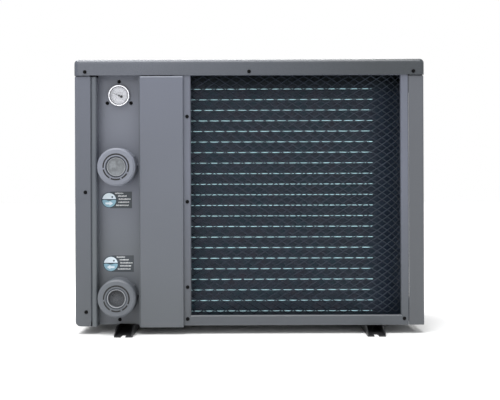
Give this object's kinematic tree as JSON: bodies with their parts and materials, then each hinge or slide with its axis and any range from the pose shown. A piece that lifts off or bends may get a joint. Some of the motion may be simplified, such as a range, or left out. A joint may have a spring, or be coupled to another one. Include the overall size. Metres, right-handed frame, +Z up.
{
  "type": "swimming pool heat pump",
  "caption": "Pool heat pump with a recessed water-union panel, pressure gauge, netted L-shaped coil, side-blowing fan and channel feet.",
  "frame": {"origin": "on the ground, under the middle of the casing", "axes": "+X along the casing from the water unions to the coil, +Y from the union side to the fan side, +Z up"},
  "size_m": [0.831, 0.44, 0.652],
  "materials": {
    "casing_paint": "satin",
    "black_paint": "satin",
    "galvanised": "satin",
    "net_black": "matte",
    "screw_black": "satin",
    "fin_alloy": "satin",
    "copper": "satin",
    "brass": "satin",
    "titanium": "satin",
    "shell_plastic": "satin",
    "union_plastic": "satin",
    "plug_plastic": "satin",
    "seal_rubber": "matte",
    "gauge_chrome": "polished",
    "dial_white": "satin",
    "pointer_black": "matte",
    "clear_lens": "gloss",
    "fan_plastic": "satin",
    "motor_metal": "satin",
    "steel": "satin",
    "board_green": "satin",
    "black_plastic": "satin",
    "smoked_cover": "gloss"
  },
  "bodies": {
    "casing": {"base_pan": "galvanised", "foot_rail_left": "black_paint", "foot_rail_right": "black_paint", "lid": "casing_paint", "left_side_panel": "casing_paint", "right_side_panel": "casing_paint", "connection_panel": "casing_paint", "service_cover": "casing_paint", "coil_frame": "casing_paint", "coil_net": "net_black", "fan_panel": "casing_paint", "fan_guard": "black_paint", "control_panel": "casing_paint", "partition_wall": "galvanised", "casing_screws": "screw_black", "evaporator_fins": "fin_alloy", "evaporator_tubes": "copper", "evaporator_end_plates": "galvanised", "fan_motor_bracket": "galvanised", "fan_motor": "motor_metal", "compressor": "black_paint", "compressor_grommets": "seal_rubber", "accumulator": "black_paint", "four_way_valve": "brass", "expansion_valve": "brass", "filter_drier": "copper", "discharge_pipe": "copper", "suction_pipe": "copper", "exchanger_gas_pipe": "copper", "evaporator_gas_pipe": "copper", "liquid_pipe": "copper", "exchanger_shell": "shell_plastic", "exchanger_coil": "titanium", "outlet_spigot": "shell_plastic", "inlet_spigot": "shell_plastic", "union_o_rings": "seal_rubber", "flow_switch": "shell_plastic", "gauge_case": "gauge_chrome", "gauge_dial": "dial_white", "gauge_bezel": "gauge_chrome", "gauge_lens": "clear_lens", "electrical_box": "galvanised", "control_board": "board_green", "cable_gland": "black_plastic", "controller_housing": "black_plastic"},
    "fan": {"fan_shaft": "steel", "fan_rotor": "fan_plastic", "fan_nut": "steel"},
    "outlet_tail": {"outlet_tailpiece": "union_plastic", "shipping_plug": "plug_plastic"},
    "outlet_ring": {"outlet_nut": "union_plastic"},
    "inlet_tail": {"inlet_tailpiece": "union_plastic"},
    "inlet_ring": {"inlet_nut": "union_plastic"},
    "pointer": {"gauge_pointer": "pointer_black"},
    "paddle": {"flow_paddle": "black_plastic"},
    "flap": {"controller_flap": "smoked_cover"},
    "power": {"power_button": "black_plastic"},
    "down": {"down_button": "black_plastic"},
    "up": {"up_button": "black_plastic"}
  },
  "joints": [
    {"name": "fan_spin", "type": "hinge", "parent": "casing", "child": "fan", "pos_m": [0.105, 0.15, 0.33], "axis": [0, 1, 0], "continuous": true},
    {"name": "outlet_union_draw", "type": "slide", "parent": "casing", "child": "outlet_tail", "axis": [0, -1, 0], "range_m": [0, 0.0161]},
    {"name": "outlet_nut_turn", "type": "hinge", "parent": "outlet_tail", "child": "outlet_ring", "pos_m": [-0.313, -0.18, 0.397], "axis": [0, -1, 0], "range_deg": [0, 1440]},
    {"name": "inlet_union_draw", "type": "slide", "parent": "casing", "child": "inlet_tail", "axis": [0, -1, 0], "range_m": [0, 0.0161]},
    {"name": "inlet_nut_turn", "type": "hinge", "parent": "inlet_tail", "child": "inlet_ring", "pos_m": [-0.313, -0.18, 0.0875], "axis": [0, -1, 0], "range_deg": [0, 1440]},
    {"name": "gauge_needle", "type": "hinge", "parent": "casing", "child": "pointer", "pos_m": [-0.313, -0.1425, 0.569], "axis": [0, -1, 0], "range_deg": [-202, 68], "stiffness_Nm_per_rad": 0.0002},
    {"name": "paddle_swing", "type": "hinge", "parent": "casing", "child": "paddle", "pos_m": [-0.313, -0.122, 0.1205], "axis": [1, 0, 0], "range_deg": [0, 15], "stiffness_Nm_per_rad": 0.001},
    {"name": "flap_hinge", "type": "hinge", "parent": "casing", "child": "flap", "pos_m": [-0.277, 0.1873, 0.512], "axis": [1, 0, 0], "range_deg": [0, 110]},
    {"name": "power_press", "type": "slide", "parent": "casing", "child": "power", "axis": [0, -1, 0], "range_m": [0, 0.001], "stiffness_N_per_m": 400},
    {"name": "down_press", "type": "slide", "parent": "casing", "child": "down", "axis": [0, -1, 0], "range_m": [0, 0.001], "stiffness_N_per_m": 400},
    {"name": "up_press", "type": "slide", "parent": "casing", "child": "up", "axis": [0, -1, 0], "range_m": [0, 0.001], "stiffness_N_per_m": 400}
  ],
  "couplings": [
    {"joint": "outlet_union_draw", "follows": "outlet_nut_turn", "m_per_rad": 0.00063662},
    {"joint": "inlet_union_draw", "follows": "inlet_nut_turn", "m_per_rad": 0.00063662}
  ]
}
